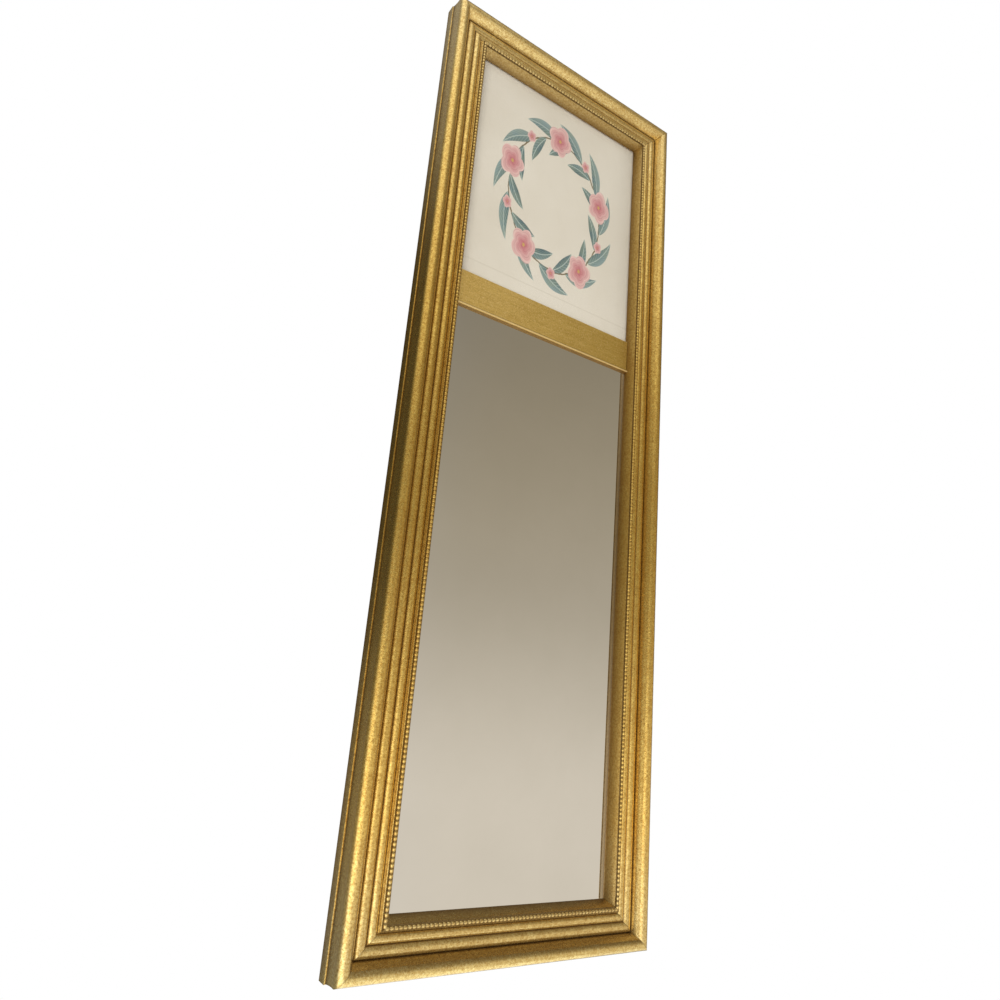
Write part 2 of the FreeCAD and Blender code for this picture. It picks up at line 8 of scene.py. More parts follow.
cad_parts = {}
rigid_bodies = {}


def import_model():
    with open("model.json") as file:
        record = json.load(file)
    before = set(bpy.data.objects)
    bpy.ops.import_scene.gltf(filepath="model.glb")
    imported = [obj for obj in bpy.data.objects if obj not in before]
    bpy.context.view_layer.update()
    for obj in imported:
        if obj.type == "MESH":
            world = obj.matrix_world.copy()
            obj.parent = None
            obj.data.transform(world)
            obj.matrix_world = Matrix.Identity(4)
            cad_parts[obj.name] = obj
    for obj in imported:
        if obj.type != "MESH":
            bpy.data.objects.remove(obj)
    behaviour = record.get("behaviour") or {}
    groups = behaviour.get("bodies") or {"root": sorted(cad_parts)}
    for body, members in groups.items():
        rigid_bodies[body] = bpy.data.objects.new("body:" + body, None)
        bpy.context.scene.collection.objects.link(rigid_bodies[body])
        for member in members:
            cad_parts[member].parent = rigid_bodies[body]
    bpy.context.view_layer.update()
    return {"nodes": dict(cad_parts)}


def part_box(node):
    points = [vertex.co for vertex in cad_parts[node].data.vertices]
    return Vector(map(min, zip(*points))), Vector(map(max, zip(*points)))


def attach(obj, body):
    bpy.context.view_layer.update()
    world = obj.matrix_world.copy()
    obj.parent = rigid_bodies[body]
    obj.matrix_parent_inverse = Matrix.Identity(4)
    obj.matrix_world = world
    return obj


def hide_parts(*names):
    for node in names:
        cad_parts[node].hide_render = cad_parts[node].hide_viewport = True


for leftover in list(bpy.data.objects):
    bpy.data.objects.remove(leftover)
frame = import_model()

# Frame lengths: four pieces of one softwood moulding, run with a torus, two reeds and a land for the
# pearls, coated with gesso and bronze gold, with umber toning in the hollows. Painted shade darkens the
# outer side, the sight wall, the inner flank of the torus and the creases beside the torus, the pearls
# and the glass, and the gold carries painted light and shade by height. Their ends are sawn at 45
# degrees, glued and nailed, and the back and the rebate stay bare wood.


def in_millimetres(node):
    """The lowest and the highest corner of a piece of the frame, in millimetres."""
    return [[round(1000 * value, 3) for value in corner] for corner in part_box(node)]


stile_low, stile_high = in_millimetres("left_stile")
FRAME_WIDTH = -2 * stile_low[0]
FRAME_HEIGHT = 2 * stile_high[2]
BACK = stile_high[1]
SIGHT = round(stile_high[0] - stile_low[0], 3)
REBATE = SIGHT - 6.0
EDGE_STEP = (0.7, 9.8)
EDGE_COVE = 0.3
TORUS_START = (1.63, 22.911)
TORUS_CENTRE = (7.5, 23.5)
TORUS_TURN = math.radians(161.237)
FLANK_RISE = 0.4
REED_RISES = (2.4, 2.0)
GROOVES = ((16.2, 18.4), (25.6, 18.7), (33.0, 19.3))
LAND = 22.1
LAND_SLOPE = ((33.5, 20.0), (34.5, 21.4), (35.0, LAND))
SIGHT_WALL = ((39.3, LAND), (41.6, 17.1), (SIGHT, 12.1))
LIP_BACK = 11.3
ARRIS = 0.35
# Spots of darkening in the section, each a place and a reach: umber toning in the three grooves, and painted
# shade in the cove under the torus, at both edges of the land beside the pearls and at the foot of the sight
# wall.
TONING_AND_SHADE_HOLLOWS = (
    (1.2, 12.0, 1.4), (*GROOVES[0], 1.6), (*GROOVES[1], 1.25), (*GROOVES[2], 0.8),
    (35.0, 22.5, 0.45), (39.3, 22.4, 0.8), (SIGHT, 12.0, 1.6))
# Painted shade on the outer side: a strong one on its rear strip up to the edge step, and a light one on the
# step and the cove.
EDGE_SHADOW = 9.6
BACK_STRIP = 0.5
BACK_STRIP_SHADE = 0.65
OUTER_SIDE = 1.5
OUTER_SIDE_SHADE = 0.2
# Painted shade on the sight wall, fading in below its head.
SIGHT_WALL_HEAD = 39.6
SIGHT_WALL_FADE = 0.6
SIGHT_WALL_SHADE = 0.6
MITRE_SHADOW = 0.8
MITRE_TONE = 0.5
FLANK = (7.0, 16.4)
FLANK_FOOT = 18.0
FLANK_FADE = 4.5
# How much painted shade darkens the inner flank of the torus on each side, most on the bottom rail.
FLANK_SHADE = {"left": 0.3, "right": 0.15, "top": 0.0, "bottom": 0.6}
GESSO_STEP = 5.0
GESSO_WAVES = ((0.045, 0.10), (0.33, 0.07))
GESSO_SEED = (37.1, 11.3, 71.7)


def line_to(bm, tip, x, y):
    """Run the section straight on to a point."""
    tip = bmesh.ops.extrude_vert_indiv(bm, verts=[tip])["verts"][0]
    tip.co = (x, y, 0)
    return tip


def arc_to(bm, tip, centre, turn, steps):
    """Run the section round a centre by an angle."""
    swept = bmesh.ops.spin(bm, geom=[tip], cent=(centre[0], centre[1], 0), axis=(0, 0, 1),
                           angle=turn, steps=steps, use_merge=False, use_duplicate=False)
    return [part for part in swept["geom_last"] if isinstance(part, bmesh.types.BMVert)][0]


def rise_to(bm, tip, x, y, rise, steps):
    """Run the section to a point in an arc that rises to the left of its way, or sinks to the right."""
    start = Vector((tip.co.x, tip.co.y))
    run = Vector((x, y)) - start
    turn = 4 * math.atan(2 * abs(rise) / run.length)
    radius = run.length / 2 / math.sin(turn / 2)
    left = Vector((-run.y, run.x)) / run.length * math.copysign(1, rise)
    centre = start + run / 2 - left * (radius - abs(rise))
    return arc_to(bm, tip, centre, -math.copysign(turn, rise), steps)


def moulding_section(bm):
    """The section from the back of the outer edge, over the front and into the rebate.

    The slope up to the land and the sight wall have points between, where their toning and painted shade
    change.
    """
    heel = bm.verts.new((0, 0, 0))
    tip = line_to(bm, heel, 0, EDGE_STEP[1])
    tip = line_to(bm, tip, *EDGE_STEP)
    tip = rise_to(bm, tip, *TORUS_START, -EDGE_COVE, 7)
    tip = arc_to(bm, tip, TORUS_CENTRE, -TORUS_TURN, 27)
    for groove, rise, steps in zip(GROOVES, (FLANK_RISE, *REED_RISES), (6, 14, 12)):
        tip = rise_to(bm, tip, *groove, rise, steps)
    for point in (*LAND_SLOPE, *SIGHT_WALL, (SIGHT, LIP_BACK), (REBATE, LIP_BACK), (REBATE, 0)):
        tip = line_to(bm, tip, *point)
    bm.edges.new((tip, heel))


def clipped(value):
    """A value kept from 0 to 1."""
    return min(1.0, max(0.0, value))


def toning_and_shade_at(x, y):
    """How dark a point of the section is made, from 0 on the crests to 1 in the grooves.

    Umber toning darkens the grooves. Painted shade darkens the outer side, the sight wall and the creases.
    """
    sight_wall_shade = SIGHT_WALL_SHADE * clipped((x - SIGHT_WALL_HEAD) / SIGHT_WALL_FADE)
    back_strip_shade = BACK_STRIP_SHADE * clipped(EDGE_SHADOW - y) if x < BACK_STRIP else 0.0
    outer_side_shade = OUTER_SIDE_SHADE if x < OUTER_SIDE and y > EDGE_SHADOW else 0.0
    grooves = [math.exp(-((x - at_x) ** 2 + (y - at_y) ** 2) / reach ** 2)
               for at_x, at_y, reach in TONING_AND_SHADE_HOLLOWS]
    return max(sight_wall_shade, back_strip_shade, outer_side_shade, *grooves)


def is_bare(x, y):
    """Whether a point lies on the back or in the rebate, where the wood isn't gilded."""
    return y < 0.01 or (x > REBATE - 0.05 and y < LIP_BACK + 0.05)


def long_edges(bm, length):
    """The edges that run along the whole length."""
    return [edge for edge in bm.edges if edge.calc_length() > length / 2]


def saw_mitres(bm, length, cuts):
    """Saw both ends at 45 degrees and close them. A cut short of the corner only adds a line of points."""
    for end in (1, -1):
        slope = Vector((1, 0, end)).normalized()
        corner = Vector((0, 0, end * length / 2))
        for back_off, remove in cuts:
            bmesh.ops.bisect_plane(bm, geom=bm.verts[:] + bm.edges[:] + bm.faces[:], dist=0.0001,
                                   plane_co=corner - slope * back_off, plane_no=slope,
                                   clear_outer=remove)
        rim = [edge for edge in bm.edges if edge.is_boundary
               and abs((edge.verts[0].co - corner).dot(slope)) < 0.01]
        bmesh.ops.holes_fill(bm, edges=rim, sides=0)
    bmesh.ops.recalc_face_normals(bm, faces=bm.faces[:])


def sawn_length(length, seed, flank_shade):
    """A length of moulding along Z between its two mitres, with the small waves of its gesso.

    Painted shade darkens the inner flank of the torus by a share. At the mitred ends the
    waves go only across the length.
    """
    bm = bmesh.new()
    moulding_section(bm)
    bmesh.ops.translate(bm, verts=bm.verts[:], vec=(0, 0, -length / 2))
    drawn = bmesh.ops.extrude_edge_only(bm, edges=bm.edges[:])["geom"]
    bmesh.ops.translate(bm, verts=[part for part in drawn if isinstance(part, bmesh.types.BMVert)],
                        vec=(0, 0, length))
    corners = [(0, EDGE_STEP[1]), LAND_SLOPE[-1], SIGHT_WALL[0], SIGHT_WALL[-1]]
    sharp = [edge for edge in long_edges(bm, length)
             if any((edge.verts[0].co.xy - Vector(corner)).length < 0.01 for corner in corners)]
    bmesh.ops.bevel(bm, geom=sharp, offset=ARRIS, affect="EDGES", segments=2, profile=0.5, material=-1)
    bmesh.ops.subdivide_edges(bm, edges=long_edges(bm, length), cuts=round(length / GESSO_STEP),
                              use_grid_fill=True)
    toning_and_shade = bm.verts.layers.float.new("toning_and_shade")
    saw_mitres(bm, length, ((MITRE_SHADOW, False), (0, True)))
    bm.normal_update()
    shifts = {}
    for vert in bm.verts:
        x, y, z = vert.co
        on_flank = FLANK[0] < x < FLANK[1] and y > FLANK_FOOT
        flank = clipped((x - FLANK[0]) / FLANK_FADE) if on_flank else 0.0
        to_mitre = (length / 2 - x - abs(z)) / math.sqrt(2)
        mitre = MITRE_TONE * max(0.0, 1 - to_mitre / MITRE_SHADOW)
        vert[toning_and_shade] = max(toning_and_shade_at(x, y), flank_shade * flank, mitre)
        if is_bare(x, y):
            continue
        place = Vector((x, y, z)) + Vector([seed * step for step in GESSO_SEED])
        sink = sum(depth * (0.5 + 0.5 * noise.noise(place * scale)) for scale, depth in GESSO_WAVES)
        shifts[vert] = vert.normal * -sink
    for vert, shift in shifts.items():
        vert.co += Vector((shift.x, shift.y, 0)) if abs(shift.z) > 0.02 else shift
    for face in bm.faces:
        x, y, z = face.calc_center_median()
        face.material_index = 1 if is_bare(x, y) else 0
        face.smooth = True
    return bm


def make_piece(bm, name, finishes):
    """Make a mesh an object with its finishes."""
    mesh = bpy.data.meshes.new(name)
    bm.to_mesh(mesh)
    bm.free()
    for finish in finishes:
        mesh.materials.append(finish)
    piece = bpy.data.objects.new(name, mesh)
    bpy.context.scene.collection.objects.link(piece)
    return piece


def set_down(bm, name, place, turn, finishes, sharp_degrees=20):
    """Turn a mesh in millimetres round the frame to its place and make it an object in metres."""
    lie = (Matrix.Translation(place) @ Matrix.Rotation(math.radians(turn), 4, "Y")
           @ Matrix.Rotation(math.pi, 4, "X"))
    bmesh.ops.transform(bm, matrix=Matrix.Scale(0.001, 4) @ lie, verts=bm.verts[:])
    piece = make_piece(bm, name, finishes)
    piece.data.set_sharp_from_angle(angle=math.radians(sharp_degrees))
    return piece


def tone(red, green, blue):
    """A colour as it is seen, from 0 to 255, as the linear colour that a shader takes."""
    def linear(value):
        value /= 255
        return value / 12.92 if value <= 0.04045 else ((value + 0.055) / 1.055) ** 2.4
    return linear(red), linear(green), linear(blue), 1


def add(finish, kind, sockets, **settings):
    """Add a node to a finish, with its inputs set to values or joined to other nodes' outputs."""
    made = finish.node_tree.nodes.new(kind)
    for name, value in settings.items():
        setattr(made, name, value)
    for name, value in sockets.items():
        if isinstance(value, bpy.types.NodeSocket):
            finish.node_tree.links.new(value, made.inputs[name])
        else:
            made.inputs[name].default_value = value
    return made


def new_finish(name):
    """An empty finish and its surface shader."""
    finish = bpy.data.materials.new(name)
    finish.use_nodes = True
    return finish, finish.node_tree.nodes["Principled BSDF"]


def join(finish, surface, **outputs):
    """Join outputs to a shader's inputs of the same names."""
    for name, output in outputs.items():
        finish.node_tree.links.new(output, surface.inputs[name.replace("_", " ")])


def math_of(finish, operation, *values):
    """The result of a sum on outputs and numbers."""
    return add(finish, "ShaderNodeMath", dict(enumerate(values)), operation=operation).outputs[0]


def mixed(finish, share, first, second, blend="MIX"):
    """Two colours mixed by a share."""
    return add(finish, "ShaderNodeMix", {0: share, 6: first, 7: second},
               data_type="RGBA", blend_type=blend).outputs[2]


def ramp(finish, share, low, high, start=0.0, stop=1.0):
    """A share moved from one range to another, kept within it."""
    return add(finish, "ShaderNodeMapRange", {"Value": share, "From Min": low, "From Max": high,
                                              "To Min": start, "To Max": stop}).outputs["Result"]


def object_place(finish, scale=(1, 1, 1)):
    """Object coordinates, stretched along the axes."""
    coords = add(finish, "ShaderNodeTexCoord", {}).outputs["Object"]
    return add(finish, "ShaderNodeMapping", {"Vector": coords, "Scale": scale}).outputs["Vector"]


def axes_of(finish, place):
    """The three parts of a place."""
    return add(finish, "ShaderNodeSeparateXYZ", {0: place}).outputs


def grains(finish, place, scale, detail=4.0, roughness=0.55):
    """Cloudy noise at a scale per metre."""
    return add(finish, "ShaderNodeTexNoise", {"Vector": place, "Scale": scale, "Detail": detail,
                                              "Roughness": roughness}).outputs["Fac"]


def relief(finish, height, strength, distance):
    """A surface direction that follows small heights."""
    return add(finish, "ShaderNodeBump", {"Height": height, "Strength": strength,
                                          "Distance": distance}).outputs["Normal"]


def gilt_coat(name, mottle, pale, bright, deep, umber):
    """Bronze gold, applied by rubbing over brown: mottled, speckled, darker in the hollows with umber
    toning and painted shade, and darker at mid height with painted shade.

    Painted light makes it palest on the two rails and brightest, a painted highlight, on the lowest edge.
    It shines most towards the foot.
    """
    finish, surface = new_finish(name)
    toning_and_shade = add(finish, "ShaderNodeAttribute", {}, attribute_name="toning_and_shade").outputs["Fac"]
    place = object_place(finish)
    clouds = grains(finish, place, 45, 4.0, 0.6)
    patches = grains(finish, place, 430, 5.0, 0.65)
    flecks = grains(finish, place, 820, 4.0, 0.7)
    gold = mixed(finish, ramp(finish, patches, 0.4, 0.6), deep, bright)
    gold = mixed(finish, ramp(finish, clouds, 0.42, 0.62, 0.0, 0.4 * mottle), gold, deep)
    gold = mixed(finish, ramp(finish, flecks, 0.53, 0.66, 0.0, 0.5 * mottle), gold, umber)
    gold = mixed(finish, ramp(finish, flecks, 0.47, 0.36, 0.0, 0.5 * mottle), gold, pale)
    gold_toning_and_shade = mixed(finish, ramp(finish, toning_and_shade, 0.05, 0.95, 0.0, 0.85), gold, umber)
    height = axes_of(finish, place)["Z"]
    from_middle = math_of(finish, "ABSOLUTE", height)
    # Painted light and shade by height: a little paler in the upper half, darker and warmer at mid height,
    # paler towards both rails and brightest along the lowest edge.
    painted_light_by_height = mixed(finish, ramp(finish, height, -0.05, 0.05), (1.04, 1.05, 0.95, 1), (0.99, 1.05, 1.1, 1))
    painted_light_by_height = mixed(finish, ramp(finish, from_middle, 0.1, 0.35), (0.92, 0.89, 0.65, 1), painted_light_by_height)
    painted_light_by_height = mixed(finish, ramp(finish, from_middle, 0.35, 0.44), painted_light_by_height, (1.02, 1.16, 1.6, 1))
    painted_light_by_height = mixed(finish, ramp(finish, height, -0.444, -0.456), painted_light_by_height, (1.14, 1.36, 1.9, 1))
    gold_toning_and_shade = mixed(finish, 1.0, gold_toning_and_shade, painted_light_by_height, "MULTIPLY")
    dull = math_of(finish, "ADD", ramp(finish, patches, 0.35, 0.65, 0.35, 0.21),
                   ramp(finish, toning_and_shade, 0.0, 1.0, 0.0, 0.2))
    dull = math_of(finish, "SUBTRACT", dull, ramp(finish, height, -0.15, -0.4, 0.0, 0.1))
    bumps = math_of(finish, "ADD", patches, ramp(finish, flecks, 0.0, 1.0, 0.0, 0.6))
    join(finish, surface, Base_Color=gold_toning_and_shade, Roughness=dull, Normal=relief(finish, bumps, 0.3, 0.0004))
    surface.inputs["Metallic"].default_value = 0.9
    surface.inputs["Coat Weight"].default_value = 0.25
    surface.inputs["Coat Roughness"].default_value = 0.3
    return finish


def softwood_colour(finish, grain, pores):
    """Pale softwood with darker grain and fine dark pores."""
    colour = mixed(finish, ramp(finish, grain, 0.35, 0.65), tone(196, 160, 112), tone(160, 120, 76))
    return mixed(finish, ramp(finish, pores, 0.55, 0.75, 0.0, 0.5), colour, tone(108, 78, 48))


def bare_softwood(name, stretch):
    """Sawn softwood with its grain along the stretched axis."""
    finish, surface = new_finish(name)
    grain_place = object_place(finish, stretch)
    grain = grains(finish, grain_place, 260, 6.0, 0.6)
    pores = grains(finish, grain_place, 1400, 3.0, 0.6)
    join(finish, surface, Base_Color=softwood_colour(finish, grain, pores),
         Roughness=ramp(finish, grain, 0.3, 0.7, 0.62, 0.8), Normal=relief(finish, grain, 0.4, 0.0004))
    return finish


gilt_moulding = gilt_coat("gilt_moulding", 1.0, pale=tone(250, 226, 156), bright=tone(241, 204, 118),
                          deep=tone(206, 163, 82), umber=tone(106, 71, 25))
stile_wood = bare_softwood("bare_stile_wood", (1, 1, 0.06))
rail_wood = bare_softwood("bare_rail_wood", (0.06, 1, 1))
SIDES = {
    "left": (FRAME_HEIGHT, (-FRAME_WIDTH / 2, BACK, 0), 0, "left_stile"),
    "right": (FRAME_HEIGHT, (FRAME_WIDTH / 2, BACK, 0), 180, "right_stile"),
    "top": (FRAME_WIDTH, (0, BACK, FRAME_HEIGHT / 2), 90, "top_rail"),
    "bottom": (FRAME_WIDTH, (0, BACK, -FRAME_HEIGHT / 2), -90, "bottom_rail"),
}
for seed, (side, (length, place, turn, node)) in enumerate(SIDES.items()):
    back_wood = stile_wood if length == FRAME_HEIGHT else rail_wood
    piece = set_down(sawn_length(length, seed, FLANK_SHADE[side]), "gilt_" + node, place, turn,
                     [gilt_moulding, back_wood])
    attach(piece, "frame")
    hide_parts(node)

# Pearl slips: thin strips of pressed composition with a row of small beads, gilded like the frame,
# glued on the moulding's land round the sight edge and mitred at the corners.

PEARL_RADIUS = 1.7
PEARL_WAIST = 1.2
PEARL_PITCH = 3.77
PEARL_MIDDLE = 37.15
PEARL_FOOT = LAND + 0.9
PEARL_HALF_BASE = 2.15
PEARL_TONING_AND_SHADE = 0.95


def pearl_strip(length):
    """A beaded half-round on a thin base, along Z between its two mitres."""
    run = length - 2 * PEARL_MIDDLE
    count = round(run / PEARL_PITCH)
    step = run / count
    sweep = 4 * math.atan(2 * (PEARL_RADIUS - PEARL_WAIST) / step)
    bead_radius = step / 2 / math.sin(sweep / 2)
    bm = bmesh.new()
    tip = bm.verts.new((PEARL_MIDDLE + PEARL_WAIST, PEARL_FOOT, -run / 2 - step))
    for bead in range(count + 2):
        centre = (PEARL_MIDDLE + PEARL_RADIUS - bead_radius, PEARL_FOOT, tip.co.z + step / 2)
        swept = bmesh.ops.spin(bm, geom=[tip], cent=centre, axis=(0, 1, 0), angle=-sweep, steps=5,
                               use_merge=False, use_duplicate=False)
        tip = [part for part in swept["geom_last"] if isinstance(part, bmesh.types.BMVert)][0]
    bmesh.ops.spin(bm, geom=bm.verts[:] + bm.edges[:], cent=(PEARL_MIDDLE, PEARL_FOOT, 0),
                   axis=(0, 0, 1), angle=math.pi, steps=8, use_merge=False, use_duplicate=False)

    def level_edges(height):
        return [edge for edge in bm.edges
                if edge.is_boundary and all(abs(vert.co.y - height) < 0.001 for vert in edge.verts)]

    drawn = bmesh.ops.extrude_edge_only(bm, edges=level_edges(PEARL_FOOT))["geom"]
    for vert in [part for part in drawn if isinstance(part, bmesh.types.BMVert)]:
        vert.co.x = PEARL_MIDDLE + math.copysign(PEARL_HALF_BASE, vert.co.x - PEARL_MIDDLE)
    rims = [edge for edge in drawn if isinstance(edge, bmesh.types.BMEdge) and edge.is_boundary
            and abs(edge.verts[0].co.z - edge.verts[1].co.z) > 0.001]
    drawn = bmesh.ops.extrude_edge_only(bm, edges=rims)["geom"]
    for vert in [part for part in drawn if isinstance(part, bmesh.types.BMVert)]:
        vert.co.y = LAND
    bmesh.ops.bridge_loops(bm, edges=level_edges(LAND))
    saw_mitres(bm, length, ((0, True),))
    # Umber toning in the notches between the beads, and painted shade at their foot.
    toning_and_shade = bm.verts.layers.float.new("toning_and_shade")
    for vert in bm.verts:
        across = vert.co.x - PEARL_MIDDLE
        up = max(vert.co.y - PEARL_FOOT, 0)
        crest = (math.hypot(across, up) - PEARL_WAIST) / (PEARL_RADIUS - PEARL_WAIST)
        vert[toning_and_shade] = PEARL_TONING_AND_SHADE * clipped(max(1 - crest, 1 - up / PEARL_WAIST))
    for face in bm.faces:
        face.smooth = True
    return bm


gilt_pearls = gilt_coat("gilt_pearls", 0.6, pale=tone(250, 228, 166), bright=tone(241, 206, 124),
                        deep=tone(210, 167, 88), umber=tone(104, 75, 32))
for side, (length, place, turn, node) in SIDES.items():
    piece = set_down(pearl_strip(length), "gilt_%s_pearls" % side, place, turn, [gilt_pearls], 40)
    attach(piece, "frame")
    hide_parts(side + "_pearl_slip")

# Divider rail: a flat softwood rail between picture and mirror with a fine round lip along its foot,
# brushed with gold along its length, its back left bare, its ends cut to the stiles' slope and held by
# two beech dowels.

RAIL_FOOT, RAIL_TOP = (round(corner.z, 5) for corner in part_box("divider_rail"))
RAIL_CREASE = RAIL_FOOT + 0.0027
CREASE_HALF = 0.0006
LIP_CREST = RAIL_FOOT + 0.0014


def apart(finish, value, middle):
    """How far a value is from a middle, on either side."""
    return math_of(finish, "ABSOLUTE", math_of(finish, "SUBTRACT", value, middle))


def bell(finish, value):
    """A bell curve, 1 where a value is 0."""
    square = math_of(finish, "MULTIPLY", value, value)
    return math_of(finish, "EXPONENT", math_of(finish, "MULTIPLY", square, -1.0))


def dress(node, finish):
    """Give a piece of the frame its finish."""
    slots = frame["nodes"][node].data.materials
    slots.clear()
    slots.append(finish)


gilt_rail, surface = new_finish("gilt_rail")
place = object_place(gilt_rail)
spot = axes_of(gilt_rail, place)
streaks_place = object_place(gilt_rail, (0.06, 1, 1))
streaks = grains(gilt_rail, streaks_place, 1700, 3.0, 0.6)
broad = grains(gilt_rail, streaks_place, 420, 3.0, 0.6)
flecks = grains(gilt_rail, place, 700, 3.0, 0.65)
gold = mixed(gilt_rail, ramp(gilt_rail, broad, 0.35, 0.65), tone(210, 177, 95), tone(222, 191, 108))
gold = mixed(gilt_rail, ramp(gilt_rail, streaks, 0.5, 0.66, 0.0, 0.6), gold, tone(244, 214, 140))
gold = mixed(gilt_rail, ramp(gilt_rail, flecks, 0.56, 0.7, 0.0, 0.5), gold, tone(140, 106, 52))
gold = mixed(gilt_rail, ramp(gilt_rail, flecks, 0.44, 0.34, 0.0, 0.6), gold, tone(248, 228, 168))
# The rail's gold grows darker towards its right end.
darker_to_right = mixed(gilt_rail, ramp(gilt_rail, spot["X"], -0.05, 0.11), (1.02, 1.0, 1.0, 1), (0.76, 0.71, 0.55, 1))
gold = mixed(gilt_rail, 1.0, gold, darker_to_right, "MULTIPLY")
# Painted highlight along the top arris.
top_arris_highlight = ramp(gilt_rail, spot["Z"], RAIL_TOP - 0.0012, RAIL_TOP - 0.0004, 0.0, 0.7)
gold = mixed(gilt_rail, top_arris_highlight, gold, tone(246, 224, 166))
# Painted shade in a thin line along the top of the lip, where it meets the face.
from_crease = math_of(gilt_rail, "SUBTRACT", spot["Z"], RAIL_CREASE)
crease_shade = bell(gilt_rail, math_of(gilt_rail, "DIVIDE", from_crease, CREASE_HALF))
gold = mixed(gilt_rail, math_of(gilt_rail, "MULTIPLY", crease_shade, 0.85), gold, tone(96, 74, 42))
# Painted highlight along the crest of the lip.
lip_crest_highlight = ramp(gilt_rail, apart(gilt_rail, spot["Z"], LIP_CREST), 0.0012, 0.0006)
gold = mixed(gilt_rail, math_of(gilt_rail, "MULTIPLY", lip_crest_highlight, 0.8), gold, tone(248, 222, 162))
# Painted shade on the underside of the lip.
under_lip_shade = ramp(gilt_rail, spot["Z"], RAIL_FOOT + 0.0006, RAIL_FOOT + 0.0001, 0.0, 0.7)
gold = mixed(gilt_rail, under_lip_shade, gold, tone(124, 84, 42))
facing = axes_of(gilt_rail, add(gilt_rail, "ShaderNodeTexCoord", {}).outputs["Normal"])
bare_back = ramp(gilt_rail, facing["Y"], 0.8, 0.95)
rail_colour = mixed(gilt_rail, bare_back, gold, softwood_colour(gilt_rail, broad, streaks))
rail_relief = math_of(gilt_rail, "ADD", streaks, math_of(gilt_rail, "MULTIPLY", flecks, 0.6))
join(gilt_rail, surface, Base_Color=rail_colour,
     Roughness=ramp(gilt_rail, streaks, 0.3, 0.7, 0.5, 0.4),
     Metallic=ramp(gilt_rail, bare_back, 0.0, 1.0, 0.75, 0.0),
     Normal=relief(gilt_rail, rail_relief, 0.3, 0.0003))
dress("divider_rail", gilt_rail)

beech, surface = new_finish("dowel_beech")
grain = grains(beech, object_place(beech, (0.08, 1, 1)), 900, 5.0, 0.6)
beech_colour = mixed(beech, ramp(beech, grain, 0.35, 0.65), tone(222, 190, 146), tone(192, 152, 106))
join(beech, surface, Base_Color=beech_colour, Roughness=ramp(beech, grain, 0.3, 0.7, 0.5, 0.7),
     Normal=relief(beech, grain, 0.3, 0.0002))
dress("rail_dowels", beech)

# Picture panel: clear float glass over a printed sheet of cream paper with a wreath of leaves and
# pink blossoms, backed by a brown hardboard, all loose in the rebate above the rail.

glass_low, glass_high = in_millimetres("picture_glass")
print_low, print_high = in_millimetres("picture_print")
GLASS_GAP = 0.15
GLASS_EDGE = 0.3
PAPER_EDGE = 0.04
PAPER_WAVES = 0.12
PAPER_WAVE_SCALE = (0.02, 0.016)
FOLD_HEIGHT = 0.1715
WREATH_HEIGHT = 0.2846
WREATH_REACH = (0.063, 0.084)
WREATH_SCALE = 73.0
SCREEN_TURN = 4200.0


def cut_sheet(name, low, high, edge, waves, finish):
    """A sheet between two corners with softened edges, its front waved by up to a depth."""
    bm = bmesh.new()
    bmesh.ops.create_cube(bm, size=1)
    bmesh.ops.scale(bm, vec=[end - start for start, end in zip(low, high)], verts=bm.verts[:])
    bmesh.ops.translate(bm, vec=[(start + end) / 2 for start, end in zip(low, high)], verts=bm.verts[:])
    bmesh.ops.bevel(bm, geom=bm.edges[:], offset=edge, affect="EDGES", segments=2, profile=0.5, material=-1)
    front = [face for face in bm.faces if face.normal.y < -0.99]
    rims = {rim for face in front for rim in face.edges}
    bmesh.ops.subdivide_edges(bm, edges=list(rims), cuts=40, use_grid_fill=True)
    for vert in bm.verts:
        if vert.co.y < low[1] + 0.001:
            across, along = PAPER_WAVE_SCALE
            wave = noise.noise(Vector((vert.co.x * across, 0, vert.co.z * along)))
            vert.co.y += waves * (0.5 + 0.5 * wave)
    bmesh.ops.scale(bm, vec=(0.001, 0.001, 0.001), verts=bm.verts[:])
    for face in bm.faces:
        face.smooth = True
    piece = make_piece(bm, name, [finish])
    piece.data.set_sharp_from_angle(angle=math.radians(20))
    return piece


clear_glass, surface = new_finish("clear_glass")
surface_nodes = clear_glass.node_tree.nodes
smears = grains(clear_glass, object_place(clear_glass), 14, 4.0, 0.6)
smeared = ramp(clear_glass, smears, 0.3, 0.7, 0.02, 0.07)
through = add(clear_glass, "ShaderNodeBsdfTransparent", {"Color": (0.985, 0.988, 0.985, 1)})
shine = add(clear_glass, "ShaderNodeBsdfGlossy", {"Color": (1, 1, 1, 1), "Roughness": smeared})
gloss = add(clear_glass, "ShaderNodeFresnel", {"IOR": 1.45}).outputs[0]
inner_face = add(clear_glass, "ShaderNodeNewGeometry", {}).outputs["Backfacing"]
gloss = math_of(clear_glass, "MULTIPLY", gloss, math_of(clear_glass, "SUBTRACT", 1.0, inner_face))
glass_mix = add(clear_glass, "ShaderNodeMixShader", {0: gloss, 1: through.outputs[0], 2: shine.outputs[0]})
surface_nodes.remove(surface)
clear_glass.node_tree.links.new(glass_mix.outputs[0], surface_nodes["Material Output"].inputs["Surface"])
glass_back = [glass_high[0], glass_high[1] - GLASS_GAP, glass_high[2]]
piece = cut_sheet("picture_pane", glass_low, glass_back, GLASS_EDGE, 0.0, clear_glass)
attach(piece, "frame")
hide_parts("picture_glass")

print_paper, surface = new_finish("print_paper")


def printed(operation, *values):
    """The result of a sum on the print's outputs and numbers."""
    return math_of(print_paper, operation, *values)


